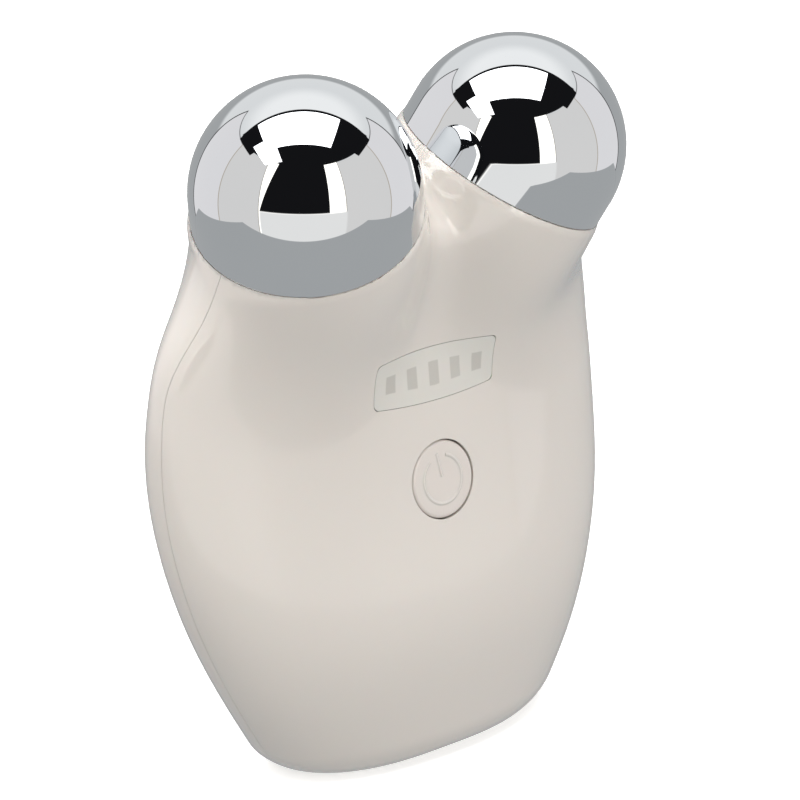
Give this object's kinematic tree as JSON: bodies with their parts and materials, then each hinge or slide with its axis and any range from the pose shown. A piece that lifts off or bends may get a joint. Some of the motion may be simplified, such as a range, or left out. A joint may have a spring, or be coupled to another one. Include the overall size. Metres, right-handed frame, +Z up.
{
  "type": "facial toning device",
  "caption": "Hand-held facial toner: an ivory forked body with chrome electrode domes, a milky level window, a power button and a charging socket in its base.",
  "frame": {"origin": "middle of the base, on the plane of the foot pads", "axes": "+Z up through the body, -Y out of the front face with the button, +X to the viewer's right"},
  "size_m": [0.0804, 0.0371, 0.1018],
  "materials": {
    "ivory_abs": "high-gloss moulded ivory",
    "chrome_plate": "mirror-bright plating",
    "milky_acrylic": "milky, slightly translucent",
    "led_epoxy": "clear-coated lamp body",
    "button_abs": "gloss moulded ivory",
    "carrier_nylon": "moulded natural nylon",
    "mask_plastic": "moulded white",
    "seal_silicone": "moulded silicone",
    "foot_rubber": "moulded grey silicone",
    "screw_steel": "zinc-plated steel",
    "contact_brass": "plated brass",
    "board_laminate": "solder-masked glass-epoxy laminate",
    "chip_epoxy": "moulded epoxy",
    "ferrite": "sintered dark grey ferrite",
    "winding_tape": "taped copper winding",
    "capacitor_can": "drawn can",
    "switch_nylon": "moulded black nylon",
    "socket_nylon": "moulded black nylon",
    "cell_foil": "laminated foil pouch",
    "foam_tape": "foam tape",
    "lead_white": "silicone insulation",
    "lead_red": "silicone insulation",
    "lead_black": "silicone insulation",
    "connector_nylon": "moulded natural nylon"
  },
  "bodies": {
    "body": {"front_shell": "ivory_abs", "rear_shell": "ivory_abs", "left_electrode_dome": "chrome_plate", "right_electrode_dome": "chrome_plate", "left_dome_carrier": "carrier_nylon", "right_dome_carrier": "carrier_nylon", "left_seal_ring": "seal_silicone", "right_seal_ring": "seal_silicone", "left_dome_screw": "screw_steel", "right_dome_screw": "screw_steel", "left_contact_tag": "contact_brass", "right_contact_tag": "contact_brass", "left_electrode_lead": "lead_white", "right_electrode_lead": "lead_white", "led_window": "milky_acrylic", "light_mask": "mask_plastic", "leds": "led_epoxy", "main_board": "board_laminate", "switch_body": "switch_nylon", "microcontroller": "chip_epoxy", "charge_chip": "chip_epoxy", "transformer_core": "ferrite", "transformer_winding": "winding_tape", "capacitors": "capacitor_can", "chip_resistors": "chip_epoxy", "buzzer": "chip_epoxy", "battery_cell": "cell_foil", "battery_tape": "foam_tape", "battery_lead_red": "lead_red", "battery_lead_black": "lead_black", "battery_plug": "connector_nylon", "battery_header": "connector_nylon", "socket_housing": "socket_nylon", "socket_pin": "contact_brass", "socket_leads": "lead_red", "board_screws": "screw_steel", "case_screws": "screw_steel", "screw_plugs": "ivory_abs", "foot_pads": "foot_rubber"},
    "button": {"power_button": "button_abs", "switch_plunger": "switch_nylon"}
  },
  "joints": [
    {"name": "button_press", "type": "slide", "parent": "body", "child": "button", "axis": [0, 0.9848, -0.1736], "range_m": [0, 0.0004], "stiffness_N_per_m": 2500}
  ]
}
